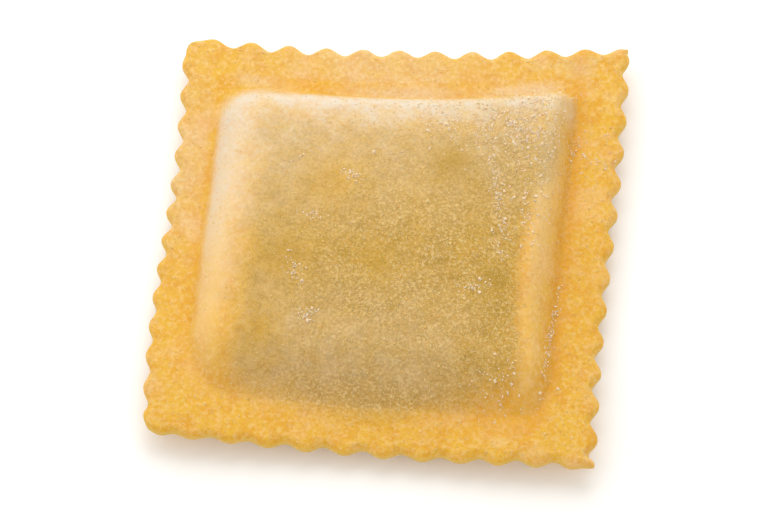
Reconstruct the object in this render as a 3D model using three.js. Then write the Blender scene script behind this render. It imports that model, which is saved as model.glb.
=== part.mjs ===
// A square raviolo of fresh egg pasta, lying on its belly with the domed side up.
// Two sheets of dough are pressed into one flat rim round a pocket of filling, and the rim is cut with a
// fluted wheel. It is shut all round, so it is one solid piece.
// Millimetres. X runs across, Y runs from the front side to the back side, and Z is up.
import * as THREE from 'three';
import { mergeVertices } from 'three/addons/utils/BufferGeometryUtils.js';

// The four corners of the cut, anticlockwise from the front left. The back is cut a little askew.
// cut: how far the corner is rounded off.
const CORNERS = [
  { x: -24.2, y: -24.45, cut: 0.9 },
  { x: 23.5, y: -24.8, cut: 0.35 },
  { x: 24.4, y: 24.7, cut: 0.4 },
  { x: -24.3, y: 22.2, cut: 1.1 },
];

// Each side runs anticlockwise from the corner of the same number.
// pitch: tip to tip of the teeth. first: from the corner to the first tip.
// drift: how unevenly the teeth are spaced, in teeth. plain: the stretch at each end where they die away.
// teeth: depth of the teeth near the start, in the middle and near the end.
// bow: how far the middle of the cut stands out from a straight line. swing: how far it bends like an S.
// rim: width of the flat rim. tuck: how far the pocket's line is drawn in at its middle.
// run: width of the pocket's wall, from the crease to the shoulder.
// slackness: how much wider the wall gets towards each end of the side, as a share of its run.
// creaseSoftness: at 1 the wall leaves the rim at an angle, and above it in a hollow curve.
// ridge: how far the dough stands up along the shoulder.
const SIDES = [
  {
    pitch: 3.98, first: 1.42, drift: 0.06, plain: [2.6, 2.4], teeth: [0.42, 0.72, 0.55],
    bow: 0.35, swing: 0, rim: 4.9, tuck: 0,
    run: 6.6, slackness: [0.1, -0.15], creaseSoftness: 1.8, ridge: 0,
  },
  {
    pitch: 3.75, first: -0.6, drift: -0.04, plain: [0.8, 0.8], teeth: [0.85, 0.78, 0.82],
    bow: -0.1, swing: -0.25, rim: 5.0, tuck: 0.3,
    run: 3.4, slackness: [-0.5, -0.45], creaseSoftness: 1.7, ridge: 0.4,
  },
  {
    pitch: 4.09, first: 0.66, drift: -0.06, plain: [0.8, 3.6], teeth: [0.8, 0.9, 0.85],
    bow: -1.0, swing: 0, rim: 4.5, tuck: 1.8,
    run: 2.9, slackness: [-0.45, 1.3], creaseSoftness: 1.6, ridge: 0.1,
  },
  {
    pitch: 3.52, first: 3.14, drift: -0.15, plain: [3.6, 2.6], teeth: [0.85, 0.78, 0.5],
    bow: 0, swing: -0.42, rim: 4.0, tuck: 0,
    run: 3.6, slackness: [1.3, 0.5], creaseSoftness: 1.5, ridge: 0.1,
  },
];

const TOOTH_UNEVENNESS = 0.1; // share of the teeth's depth that comes and goes along the cut
const TOOTH_FULLNESS = 0.95; // under 1, a tooth is rounder and the notch beside it is narrower
const CORNER_REACH = 3.2; // how far along the side a corner's rounding reaches

const RIM_UNDERSIDE = 1.7; // the height at which the rim floats, held up by the belly
const RIM_THICKNESS = 1.7;
const EDGE_PINCH = 0.4; // how much each face of the rim is rolled in at the cut edge
const CORNER_LIFT = 0.4; // the corners curl up by this much
const CORNER_LIFT_POWER = 3; // how closely the curl keeps to the corners
const RIPPLE = 0.15; // a slow wave round the rim, where the dough has dried unevenly
const RIPPLES = 5;
const RIPPLE_START = 0.5; // how far outside the crease the wave is full, in widths of the wall

const POCKET_FOLLOW = 0.5; // how much of a side's bow and swing the pocket's line shares
const POCKET_ROUNDING = 1.05; // how round the pocket's corners are, in widths of the wall
const SIDE_SHARPNESS = 4; // how quickly one side's crease and ridge give way to the next one's at a corner
const WALL_HEIGHT = 3.0;
const WALL_TOP_ROUNDNESS = 2.4;
const RIDGE_WIDTH = 0.42; // in widths of the wall
const CROWN_HEIGHT = 2.6; // the gentle dome of the face
const LUMP_HEIGHT = 0.22; // the filling pushes up soft lumps
const LUMP_WAVELENGTH = 13;
const BELLY_RUN = 1.4; // from the crease to the flat patch of the belly, in widths of the wall
const BELLY_SOFTNESS = 1.5;

// How finely the surfaces are divided. Levels are depths inside the crease, in widths of the wall.
const STEPS_PER_TOOTH = 6;
const SPOKE_STRIDE = 3; // inside the teeth, only every third point is kept
const TOOTH_ROOT_INSET = 1.9; // towards the middle, which is less across the side near a corner
const WALL_LEVELS = [0, 0.12, 0.3, 0.52, 0.76, 1.0, 1.5];
const BELLY_LEVELS = [0, 0.25, 0.55, 0.95, BELLY_RUN];
const CROWN_SHARES = [0.75, 0.5, 0.25];
const PATCH_SHARES = [0.5];
const RING_TOLERANCE = 1e-7; // as a share of a spoke
const MERGE_TOLERANCE = 1e-4;

// The straight line of each side, with its length, direction and outward normal.
const SIDE_LINES = SIDES.map((side, index) => {
  const next = (index + 1) % SIDES.length;
  const start = new THREE.Vector2(CORNERS[index].x, CORNERS[index].y);
  const along = new THREE.Vector2(CORNERS[next].x, CORNERS[next].y).sub(start);
  const length = along.length();
  along.normalize();
  const outward = new THREE.Vector2(along.y, -along.x);
  return { ...side, start, length, along, outward, ends: [index, next] };
});

// How far a side's cut stands out from its straight line, at a share of its length.
function sideShape({ bow, swing }, share) {
  return bow * 4 * share * (1 - share) + swing * Math.sin(2 * Math.PI * share);
}

// How far the cut stands in from the line of the tooth tips: nothing at a tip, most at a notch.
function notch(side, distance) {
  const share = distance / side.length;
  const turn = (distance - side.first) / side.pitch + side.drift * Math.sin(2 * Math.PI * share);
  const wave = 0.5 + 0.5 * Math.cos(2 * Math.PI * turn);
  const toEnds = [distance, side.length - distance];
  const fade = side.plain.map((stretch, k) => Math.min(1, toEnds[k] / stretch) ** 2);
  const half = share < 0.5 ? 0 : 1;
  const depthHere = THREE.MathUtils.lerp(side.teeth[half], side.teeth[half + 1], 2 * share - half);
  const depth = depthHere * (1 + TOOTH_UNEVENNESS * Math.sin(turn + side.length));
  return depth * (1 - wave ** TOOTH_FULLNESS) * fade[0] * fade[1];
}

// How far a corner's rounding takes the cut in, at a distance along the side from that corner.
function cornerCut(corner, distance) {
  return CORNERS[corner].cut * Math.max(0, 1 - distance / CORNER_REACH) ** 2;
}

// A point of a side: on the cut edge itself if it is toothed, or else on the smooth line of the tips.
function sidePoint(index, distance, toothed) {
  const side = SIDE_LINES[index];
  const out = sideShape(side, distance / side.length) - (toothed ? notch(side, distance) : 0);
  const point = side.start.clone().addScaledVector(side.along, distance).addScaledVector(side.outward, out);
  const [near, far] = side.ends;
  const cut = cornerCut(near, distance) + cornerCut(far, side.length - distance);
  return point.addScaledVector(point.clone().negate().normalize(), cut);
}

// Where the points of the outline stand, side by side, with a whole number of teeth on each.
function outlineStations() {
  return SIDE_LINES.flatMap((side, index) => {
    const steps = Math.round(side.length / side.pitch) * STEPS_PER_TOOTH;
    return Array.from({ length: steps }, (_, k) => ({ index, distance: (side.length * k) / steps }));
  });
}

// How far a point lies inside each side of the pocket, and where it is along that side.
function pocketInsets(x, y) {
  return SIDE_LINES.map((side) => {
    const fromStart = new THREE.Vector2(x, y).sub(side.start);
    const share = THREE.MathUtils.clamp(fromStart.dot(side.along) / side.length, 0, 1);
    const out = POCKET_FOLLOW * sideShape(side, share) - side.tuck * 4 * share * (1 - share);
    return { inset: out - fromStart.dot(side.outward) - side.rim, share };
  });
}

// How far a point falls short of each side's shoulder, in widths of that side's wall. It grows outwards.
function shortfalls(x, y) {
  return pocketInsets(x, y).map(({ inset, share }, index) => {
    const { run, slackness: [start, end] } = SIDES[index];
    const slack = 1 + start * Math.max(0, 1 - 2 * share) ** 2 + end * Math.max(0, 2 * share - 1) ** 2;
    return POCKET_ROUNDING - inset / (run * slack);
  });
}

// How deep a point lies inside the rounded outline of the pocket, in widths of the wall.
// It is 0 at the crease, 1 at the shoulder, and negative on the rim.
function pocketDepth(x, y) {
  const short = shortfalls(x, y);
  const beyond = Math.hypot(...short.map((s) => Math.max(s, 0)));
  return POCKET_ROUNDING - beyond - Math.min(Math.max(...short), 0);
}

// Mixes one value of each side, so that the nearest side counts most.
function mixSides(x, y, valueOf) {
  const weights = shortfalls(x, y).map((s) => Math.exp(SIDE_SHARPNESS * s));
  const total = weights.reduce((sum, weight) => sum + weight);
  return weights.reduce((sum, weight, index) => sum + weight * valueOf(SIDES[index]), 0) / total;
}

// 0 at the crease, 1 at the shoulder, which is round, with a crease of the softness given.
function wallProfile(share, softness) {
  const t = THREE.MathUtils.clamp(share, 0, 1);
  return (1 - (1 - t) ** WALL_TOP_ROUNDNESS) ** softness;
}

// 1 in the middle of the pocket, falling to 0 at its sides.
function crown(x, y) {
  const [front, right, back, left] = pocketInsets(x, y).map(({ inset }) => Math.max(inset, 0));
  const across = (4 * left * right) / (left + right) ** 2;
  const away = (4 * front * back) / (front + back) ** 2;
  return across * away;
}

// Soft lumps of the filling under the dough, strongest in the middle.
function lumps(x, y) {
  const turn = (2 * Math.PI) / LUMP_WAVELENGTH;
  const waves = Math.sin(turn * (x + 0.4 * y)) * Math.cos(turn * (0.9 * y - 0.3 * x) + 1);
  return LUMP_HEIGHT * waves * crown(x, y);
}

// How much the rim leaves its level plane: up at the corners, and in slow ripples between.
function rimRise(x, y) {
  const [front, right, back, left] = pocketInsets(x, y).map(({ inset }) => inset);
  const across = (left - right) / (left + right);
  const away = (back - front) / (back + front);
  const corner = Math.min(1, Math.abs(across * away)) ** CORNER_LIFT_POWER;
  const outside = THREE.MathUtils.clamp(-pocketDepth(x, y) / RIPPLE_START, 0, 1);
  return CORNER_LIFT * corner + RIPPLE * Math.sin(RIPPLES * Math.atan2(y, x)) * outside;
}

function topHeight(x, y, pinch) {
  const depth = pocketDepth(x, y);
  const softness = mixSides(x, y, (side) => side.creaseSoftness);
  const ridge = mixSides(x, y, (side) => side.ridge) * Math.exp(-(((depth - 1) / RIDGE_WIDTH) ** 2));
  const pocket = WALL_HEIGHT * wallProfile(depth, softness) + CROWN_HEIGHT * crown(x, y);
  return RIM_UNDERSIDE + RIM_THICKNESS + rimRise(x, y) + pocket + lumps(x, y) + ridge - pinch;
}

function undersideHeight(x, y, pinch) {
  const sunk = 1 - wallProfile(pocketDepth(x, y) / BELLY_RUN, BELLY_SOFTNESS);
  return (RIM_UNDERSIDE + rimRise(x, y)) * sunk + pinch;
}

const middle = new THREE.Vector2(
  (SIDES[3].rim - SIDES[1].rim) / 2,
  (SIDES[0].rim - SIDES[2].rim) / 2,
);
const stations = outlineStations();
const cutEdge = stations.map(({ index, distance }) => sidePoint(index, distance, true));
const tipLine = stations.map(({ index, distance }) => sidePoint(index, distance, false));
const spokes = tipLine.filter((_, i) => i % SPOKE_STRIDE === 0);

// The tooth roots: the line of the tips, taken in evenly towards the middle.
const toothRoots = tipLine.map((p) => {
  return p.clone().addScaledVector(middle.clone().sub(p).normalize(), TOOTH_ROOT_INSET);
});

// One ring inside the rim, where each spoke reaches the given depth in the pocket.
function depthRing(level) {
  return spokes.map((tip) => {
    let inside = 0;
    let outside = 1;
    while (outside - inside > RING_TOLERANCE) {
      const share = (inside + outside) / 2;
      const { x, y } = middle.clone().lerp(tip, share);
      if (pocketDepth(x, y) > level) inside = share;
      else outside = share;
    }
    return middle.clone().lerp(tip, inside);
  });
}

// The rings of one face from the cut edge to the middle, each a list of points in plan.
function faceRings(levels, shares) {
  const pocketRings = levels.map(depthRing);
  const crease = pocketRings[0];
  const innermost = pocketRings[pocketRings.length - 1];
  const rimMiddle = crease.map((p, i) => p.clone().lerp(spokes[i], 0.5));
  const shrunk = shares.map((share) => innermost.map((p) => middle.clone().lerp(p, share)));
  return [cutEdge, toothRoots, rimMiddle, ...pocketRings, ...shrunk];
}

// Triangles between corner points, collected as flat coordinates. A turned surface faces the other way.
class Surface {
  constructor(turned = false) {
    this.turned = turned;
    this.coordinates = [];
  }

  triangle(a, b, c) {
    const corners = this.turned ? [a, c, b] : [a, b, c];
    for (const p of corners) this.coordinates.push(p.x, p.y, p.z);
  }

  // The band between a closed ring and the next one in, which may have one point for every few of the first.
  band(outer, inner) {
    const ratio = outer.length / inner.length;
    const turnAt = Math.floor((ratio - 1) / 2);
    inner.forEach((from, i) => {
      const to = inner[(i + 1) % inner.length];
      for (let k = 0; k < ratio; k += 1) {
        const a = outer[i * ratio + k];
        const b = outer[(i * ratio + k + 1) % outer.length];
        this.triangle(a, b, k <= turnAt ? from : to);
        if (k === turnAt) this.triangle(b, to, from);
      }
    });
  }

  // The last ring, closed to a point in the middle.
  fan(ring, centre) {
    ring.forEach((p, i) => this.triangle(p, ring[(i + 1) % ring.length], centre));
  }
}

// One face of the piece, lifted from its plan rings by a height function. Only its outer ring is pinched.
function liftFace(rings, height, turned) {
  const lifted = rings.map((ring, i) => {
    return ring.map(({ x, y }) => new THREE.Vector3(x, y, height(x, y, i === 0 ? EDGE_PINCH : 0)));
  });
  const surface = new Surface(turned);
  lifted.slice(1).forEach((ring, i) => surface.band(lifted[i], ring));
  const centre = new THREE.Vector3(middle.x, middle.y, height(middle.x, middle.y, 0));
  surface.fan(lifted[lifted.length - 1], centre);
  return { surface, rim: lifted[0] };
}

function ravioloGeometry() {
  const top = liftFace(faceRings(WALL_LEVELS, CROWN_SHARES), topHeight, false);
  const underside = liftFace(faceRings(BELLY_LEVELS, PATCH_SHARES), undersideHeight, true);
  const edge = new Surface();
  edge.band(underside.rim, top.rim);
  const coordinates = [top.surface, underside.surface, edge].flatMap((surface) => surface.coordinates);

  const soup = new THREE.BufferGeometry();
  soup.setAttribute('position', new THREE.Float32BufferAttribute(coordinates, 3));
  const geometry = mergeVertices(soup, MERGE_TOLERANCE);
  geometry.computeBoundingBox();
  const { min, max } = geometry.boundingBox;
  geometry.translate(-(min.x + max.x) / 2, -(min.y + max.y) / 2, -min.z);
  geometry.computeVertexNormals();
  return geometry;
}

const eggDough = new THREE.MeshStandardMaterial({ color: 0xe8b75c, roughness: 0.8, metalness: 0 });

const raviolo = new THREE.Mesh(ravioloGeometry(), eggDough);
raviolo.name = 'ravioli';

const group = new THREE.Group();
group.add(raviolo);

export default group;
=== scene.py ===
"""A square raviolo of fresh egg pasta, dusted with semolina, lying on a plain pale floor.

Two sheets of rolled dough are pressed into one flat rim round a pocket of filling, and the rim is cut with a
fluted wheel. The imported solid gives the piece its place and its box. This script builds the fine skin over
it from the same driving sizes, and scatters the semolina and the flour on it as meshes of their own.
Lengths are millimetres until they become mesh points, which are metres.
"""

import itertools
import logging
import math
from collections.abc import Sequence
from dataclasses import dataclass
from enum import Enum

import bpy
import numpy as np
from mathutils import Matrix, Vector


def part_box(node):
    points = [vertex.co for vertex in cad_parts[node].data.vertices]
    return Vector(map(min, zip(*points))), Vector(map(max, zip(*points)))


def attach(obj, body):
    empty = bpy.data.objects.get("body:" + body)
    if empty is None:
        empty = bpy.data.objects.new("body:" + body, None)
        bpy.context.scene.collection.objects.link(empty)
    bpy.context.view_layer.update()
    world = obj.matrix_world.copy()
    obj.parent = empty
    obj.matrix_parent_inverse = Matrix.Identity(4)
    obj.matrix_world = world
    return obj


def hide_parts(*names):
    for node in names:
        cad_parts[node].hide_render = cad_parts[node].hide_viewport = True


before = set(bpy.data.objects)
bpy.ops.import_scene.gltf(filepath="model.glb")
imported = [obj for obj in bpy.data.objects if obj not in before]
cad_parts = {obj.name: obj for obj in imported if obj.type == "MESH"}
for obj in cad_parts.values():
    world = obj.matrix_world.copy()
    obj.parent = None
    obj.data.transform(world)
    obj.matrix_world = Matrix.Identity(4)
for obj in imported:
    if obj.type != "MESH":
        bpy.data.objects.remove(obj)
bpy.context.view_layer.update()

LOG = logging.getLogger("ravioli")

NODE = "ravioli"
BODY = "root"
MM = 0.001

# The inputs and the output of Blender's Mix node when it mixes colours, which it only tells apart by number.
MIX_FACTOR, MIX_LOWER, MIX_UPPER, MIX_RESULT = 0, 6, 7, 2


def linear(colour: str) -> tuple[float, float, float, float]:
    """Turns an sRGB hex colour into linear light.

    Args:
        colour: six hex digits, such as "E9B756".

    Returns:
        Red, green, blue and an alpha of 1.
    """
    shares = [int(colour[i : i + 2], 16) / 255 for i in (0, 2, 4)]
    light = [s / 12.92 if s <= 0.04045 else ((s + 0.055) / 1.055) ** 2.4 for s in shares]
    return (*light, 1.0)


def ease(low: np.ndarray | float, high: np.ndarray | float, values: np.ndarray) -> np.ndarray:
    """Rises smoothly from 0 at low to 1 at high.

    Args:
        low: where the rise starts. It and high may differ from point to point.
        high: where it ends. It may be under low, and the result then falls.
        values: where to take it.

    Returns:
        An array like values.
    """
    share = np.clip((values - low) / (high - low), 0, 1)
    return share * share * (3 - 2 * share)


def bell(values: np.ndarray, middle: float, width: float) -> np.ndarray:
    """Is 1 at the middle and falls away on both sides like a bell.

    Args:
        values: where to take it.
        middle: where it is highest.
        width: how far from the middle it has fallen to about a third.

    Returns:
        An array like values.
    """
    return np.exp(-(((values - middle) / width) ** 2))


def add_node(tree: bpy.types.NodeTree, kind: str, settings: dict[str | int, object]) -> bpy.types.Node:
    """Adds one shader node.

    Args:
        tree: the material's or the world's node tree.
        kind: the node's type name in Blender.
        settings: what to give the node's own properties and its inputs, by name or number. An input takes
            either a value or another node's socket, which is then linked to it.

    Returns:
        The new node.
    """
    node = tree.nodes.new(kind)
    for name, value in settings.items():
        if isinstance(value, bpy.types.NodeSocket):
            tree.links.new(value, node.inputs[name])
        elif isinstance(name, str) and hasattr(node, name):
            setattr(node, name, value)
        else:
            node.inputs[name].default_value = value
    return node


def new_material(name: str) -> bpy.types.Material:
    """Makes a material with no nodes yet.

    Args:
        name: the material's name.

    Returns:
        The new material.
    """
    material = bpy.data.materials.new(name)
    material.use_nodes = True
    material.node_tree.nodes.clear()
    return material


class GradientNoise:
    """Smooth seeded noise over the plan, from about -1 to 1."""

    CELLS = 64
    GAIN = 1.5

    def __init__(self, seed: int) -> None:
        """Draws the slope of the noise at each crossing of its lattice."""
        turn = np.random.default_rng(seed).uniform(0, 2 * np.pi, (self.CELLS, self.CELLS))
        self.slopes = np.stack([np.cos(turn), np.sin(turn)], axis=-1)

    def at(self, points: np.ndarray, size: float) -> np.ndarray:
        """Takes the noise at plan points.

        Args:
            points: plan points in millimetres, of shape (..., 2).
            size: how far apart its bumps are, in millimetres.

        Returns:
            The noise, of shape (...).
        """
        place = points / size
        cell = np.floor(place).astype(int)
        inside = place - cell
        fade = inside**3 * (inside * (inside * 6 - 15) + 10)
        total = np.zeros(points.shape[:-1])
        for step in ((0, 0), (1, 0), (0, 1), (1, 1)):
            crossing = (cell + step) % self.CELLS
            slope = self.slopes[crossing[..., 0], crossing[..., 1]]
            weight = np.prod(np.where(step, fade, 1 - fade), axis=-1)
            total += weight * np.sum(slope * (inside - step), axis=-1)
        return self.GAIN * total

    def layered(self, points: np.ndarray, size: float, layers: int) -> np.ndarray:
        """Adds up noise of ever half the size and half the height.

        Args:
            points: plan points in millimetres, of shape (..., 2).
            size: the size of the coarsest layer, in millimetres.
            layers: how many layers there are.

        Returns:
            The sum, of shape (...).
        """
        return sum(self.at(points + 17.3 * k, size / 2**k) / 2**k for k in range(layers))


class Face(Enum):
    """The two broad faces of the piece."""

    TOP = "top"
    UNDERSIDE = "underside"


# --- The form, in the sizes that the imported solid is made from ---


@dataclass(frozen=True)
class FlutedWheel:
    """The pasta wheel that cuts the rim."""

    unevenness: float = 0.1  # share of the teeth's depth that comes and goes along the cut
    fullness: float = 0.95  # under 1, a tooth is rounder and the notch beside it is narrower


@dataclass(frozen=True)
class Corner:
    """One corner of the cut, in millimetres. cut is how far it is rounded off."""

    x: float
    y: float
    cut: float
    reach: float = 3.2  # how far along each side the rounding goes

    @property
    def point(self) -> np.ndarray:
        """The corner before it is rounded off."""
        return np.array([self.x, self.y])

    def rounding(self, distance: np.ndarray) -> np.ndarray:
        """How far the rounding takes the cut in, at a distance along a side from the corner."""
        return self.cut * np.maximum(0, 1 - distance / self.reach) ** 2


@dataclass(frozen=True)
class Side:
    """One side of the piece, in millimetres. It runs anticlockwise from its start to its end."""

    start: Corner
    end: Corner
    pitch: float  # tip to tip of the teeth
    first: float  # from the corner to the first tip
    drift: float  # how unevenly the teeth are spaced, in teeth
    plain: tuple[float, float]  # the stretch at each end where the teeth die away
    teeth: tuple[float, float, float]  # depth of the teeth near the start, in the middle and near the end
    bow: float  # how far the middle stands out from a straight line
    swing: float  # how far it bends like an S
    rim: float  # width of the flat rim
    tuck: float  # how far the filling's spring draws the pocket's line in at its middle
    run: float  # width of the pocket's wall, from the crease to the shoulder
    slackness: tuple[float, float]  # how much wider the wall gets towards each end, as a share of its run
    crease_softness: float  # at 1 the wall leaves the rim at an angle, and above it in a hollow curve
    ridge: float  # how far the shoulder stands up
    wheel: FlutedWheel = FlutedWheel()

    @property
    def length(self) -> float:
        """Corner to corner."""
        return float(np.linalg.norm(self.end.point - self.start.point))

    @property
    def along(self) -> np.ndarray:
        """The direction from the start to the end."""
        return (self.end.point - self.start.point) / self.length

    @property
    def outward(self) -> np.ndarray:
        """The direction away from the piece."""
        return np.array([self.along[1], -self.along[0]])

    def stand_out(self, share: np.ndarray) -> np.ndarray:
        """How far the cut stands out from its straight line, at a share of its length."""
        return self.bow * 4 * share * (1 - share) + self.swing * np.sin(2 * np.pi * share)

    def pocket_line(self, share: np.ndarray, follow: float) -> np.ndarray:
        """How far the pocket's line stands out, if it shares this much of the cut's own shape."""
        return follow * self.stand_out(share) - self.tuck * 4 * share * (1 - share)

    def notch(self, distance: np.ndarray) -> np.ndarray:
        """Finds how far the cut stands in from the line of the tooth tips.

        Args:
            distance: how far along the side, from its start.

        Returns:
            Nothing at a tip, and the depth of the teeth at a notch.
        """
        turn = (distance - self.first) / self.pitch + self.drift * np.sin(2 * np.pi * distance / self.length)
        wave = 0.5 + 0.5 * np.cos(2 * np.pi * turn)
        depth = np.interp(distance / self.length, (0, 0.5, 1), self.teeth)
        depth *= 1 + self.wheel.unevenness * np.sin(turn + self.length)
        fade_in = np.minimum(1, distance / self.plain[0]) ** 2
        fade_out = np.minimum(1, (self.length - distance) / self.plain[1]) ** 2
        return depth * (1 - wave**self.wheel.fullness) * fade_in * fade_out

    def edge(self, distance: np.ndarray, toothed: bool) -> np.ndarray:
        """Follows the side in plan.

        Args:
            distance: how far along the side, from its start.
            toothed: whether to follow the teeth, or the smooth line of their tips.

        Returns:
            Plan points, of shape (..., 2).
        """
        out = self.stand_out(distance / self.length) - (self.notch(distance) if toothed else 0)
        points = self.start.point + distance[:, None] * self.along + out[:, None] * self.outward
        cut = self.start.rounding(distance) + self.end.rounding(self.length - distance)
        inward = -points / np.linalg.norm(points, axis=-1, keepdims=True)
        return points + cut[:, None] * inward


FRONT_LEFT = Corner(-24.2, -24.45, cut=0.9)
FRONT_RIGHT = Corner(23.5, -24.8, cut=0.35)
BACK_RIGHT = Corner(24.4, 24.7, cut=0.4)
BACK_LEFT = Corner(-24.3, 22.2, cut=1.1)

FRONT = Side(
    FRONT_LEFT, FRONT_RIGHT, pitch=3.98, first=1.42, drift=0.06, plain=(2.6, 2.4), teeth=(0.42, 0.72, 0.55),
    bow=0.35, swing=0, rim=4.9, tuck=0,
    run=6.6, slackness=(0.1, -0.15), crease_softness=1.8, ridge=0,
)
RIGHT = Side(
    FRONT_RIGHT, BACK_RIGHT, pitch=3.75, first=-0.6, drift=-0.04, plain=(0.8, 0.8), teeth=(0.85, 0.78, 0.82),
    bow=-0.1, swing=-0.25, rim=5.0, tuck=0.3,
    run=3.4, slackness=(-0.5, -0.45), crease_softness=1.7, ridge=0.4,
)
BACK = Side(
    BACK_RIGHT, BACK_LEFT, pitch=4.09, first=0.66, drift=-0.06, plain=(0.8, 3.6), teeth=(0.8, 0.9, 0.85),
    bow=-1.0, swing=0, rim=4.5, tuck=1.8,
    run=2.9, slackness=(-0.45, 1.3), crease_softness=1.6, ridge=0.1,
)
LEFT = Side(
    BACK_LEFT, FRONT_LEFT, pitch=3.52, first=3.14, drift=-0.15, plain=(3.6, 2.6), teeth=(0.85, 0.78, 0.5),
    bow=0, swing=-0.42, rim=4.0, tuck=0,
    run=3.6, slackness=(1.3, 0.5), crease_softness=1.5, ridge=0.1,
)


@dataclass(frozen=True)
class Insets:
    """How far points lie inside each side of the pocket, in millimetres. All are negative on the rim."""

    front: np.ndarray
    right: np.ndarray
    back: np.ndarray
    left: np.ndarray


@dataclass(frozen=True)
class RavioloForm:
    """The heights of the piece's two faces, in millimetres above what it lies on."""

    sides: tuple[Side, Side, Side, Side] = (FRONT, RIGHT, BACK, LEFT)
    rim_underside: float = 1.7
    rim_thickness: float = 1.7
    corner_lift: float = 0.4  # the corners curl up by this much
    corner_lift_power: float = 3
    ripple: float = 0.15  # a slow wave round the rim, where the dough has dried unevenly
    ripples: int = 5
    ripple_start: float = 0.5
    pocket_follow: float = 0.5  # how much of a side's bow and swing the pocket's line shares
    pocket_rounding: float = 1.05
    side_sharpness: float = 4  # how quickly one side's crease and ridge give way to the next one's
    wall_height: float = 3.0
    wall_top_roundness: float = 2.4
    ridge_width: float = 0.42
    crown_height: float = 2.6
    lump_height: float = 0.22
    lump_wavelength: float = 13
    belly_run: float = 1.4
    belly_softness: float = 1.5

    def shares_along(self, points: np.ndarray) -> list[np.ndarray]:
        """How far along each side the points are, as shares of its length."""
        return [np.clip((points - s.start.point) @ s.along / s.length, 0, 1) for s in self.sides]

    def insets(self, points: np.ndarray) -> Insets:
        """Measures how far points lie inside the pocket's four sides.

        Args:
            points: plan points, of shape (..., 2).

        Returns:
            The four distances.
        """
        found = []
        for side, share in zip(self.sides, self.shares_along(points)):
            out = side.pocket_line(share, self.pocket_follow)
            found.append(out - (points - side.start.point) @ side.outward - side.rim)
        return Insets(*found)

    def shortfalls(self, points: np.ndarray) -> np.ndarray:
        """Measures how far points fall short of each side's shoulder.

        Args:
            points: plan points, of shape (..., 2).

        Returns:
            Distances in widths of that side's wall, of shape (4, ...). They grow outwards.
        """
        insets = self.insets(points)
        short = []
        for side, share, inset in zip(
            self.sides, self.shares_along(points), (insets.front, insets.right, insets.back, insets.left)
        ):
            near_start, near_end = np.maximum(0, 1 - 2 * share), np.maximum(0, 2 * share - 1)
            slack = 1 + side.slackness[0] * near_start**2 + side.slackness[1] * near_end**2
            short.append(self.pocket_rounding - inset / (side.run * slack))
        return np.array(short)

    def depth(self, points: np.ndarray) -> np.ndarray:
        """Measures how deep points lie inside the rounded outline of the pocket.

        Args:
            points: plan points, of shape (..., 2).

        Returns:
            0 at the crease, 1 at the shoulder and negative on the rim, in widths of the wall.
        """
        short = self.shortfalls(points)
        beyond = np.sqrt(np.sum(np.maximum(short, 0) ** 2, axis=0))
        return self.pocket_rounding - beyond - np.minimum(np.max(short, axis=0), 0)

    def by_side(self, points: np.ndarray, values: Sequence[float]) -> np.ndarray:
        """Mixes four values, one for each side, so that the nearest side counts most.

        Args:
            points: plan points, of shape (..., 2).
            values: the values at the front, the right, the back and the left.

        Returns:
            The mixed value at each point.
        """
        weights = np.exp(self.side_sharpness * self.shortfalls(points))
        return np.tensordot(values, weights, axes=1) / weights.sum(axis=0)

    def wall(self, share: np.ndarray, softness: np.ndarray | float) -> np.ndarray:
        """0 at the crease and 1 at the shoulder, which is round, with a crease of the softness given."""
        return (1 - (1 - np.clip(share, 0, 1)) ** self.wall_top_roundness) ** softness

    def crown(self, points: np.ndarray) -> np.ndarray:
        """Finds the dome of the filling.

        Args:
            points: plan points, of shape (..., 2).

        Returns:
            1 in the middle of the pocket, falling to 0 at its sides.
        """
        insets = self.insets(points)
        left, right = np.maximum(insets.left, 0), np.maximum(insets.right, 0)
        front, back = np.maximum(insets.front, 0), np.maximum(insets.back, 0)
        return (4 * left * right / (left + right) ** 2) * (4 * front * back / (front + back) ** 2)

    def lumps(self, points: np.ndarray) -> np.ndarray:
        """Finds the soft lumps of the filling under the dough, strongest in the middle.

        Args:
            points: plan points, of shape (..., 2).

        Returns:
            Heights in millimetres.
        """
        turn = 2 * np.pi / self.lump_wavelength
        x, y = points[..., 0], points[..., 1]
        waves = np.sin(turn * (x + 0.4 * y)) * np.cos(turn * (0.9 * y - 0.3 * x) + 1)
        return self.lump_height * waves * self.crown(points)

    def rim_rise(self, points: np.ndarray) -> np.ndarray:
        """Finds how much the rim leaves its level plane: up at the corners, and in slow ripples between.

        Args:
            points: plan points, of shape (..., 2).

        Returns:
            Heights in millimetres.
        """
        insets = self.insets(points)
        across = (insets.left - insets.right) / (insets.left + insets.right)
        away = (insets.back - insets.front) / (insets.back + insets.front)
        corner = np.minimum(1, np.abs(across * away)) ** self.corner_lift_power
        outside = np.clip(-self.depth(points) / self.ripple_start, 0, 1)
        wave = np.sin(self.ripples * np.arctan2(points[..., 1], points[..., 0]))
        return self.corner_lift * corner + self.ripple * wave * outside

    def height(self, points: np.ndarray, face: Face) -> np.ndarray:
        """Finds the height of one face, before the rim's edge is rolled in.

        Args:
            points: plan points, of shape (..., 2).
            face: which face.

        Returns:
            Heights in millimetres.
        """
        depth = self.depth(points)
        rise = self.rim_rise(points)
        if face is Face.UNDERSIDE:
            return (self.rim_underside + rise) * (1 - self.wall(depth / self.belly_run, self.belly_softness))
        softness = self.by_side(points, [side.crease_softness for side in self.sides])
        ridge = self.by_side(points, [side.ridge for side in self.sides]) * bell(depth, 1, self.ridge_width)
        pocket = self.wall_height * self.wall(depth, softness) + self.crown_height * self.crown(points)
        return self.rim_underside + self.rim_thickness + rise + pocket + self.lumps(points) + ridge


# --- Finishes ---


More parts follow.
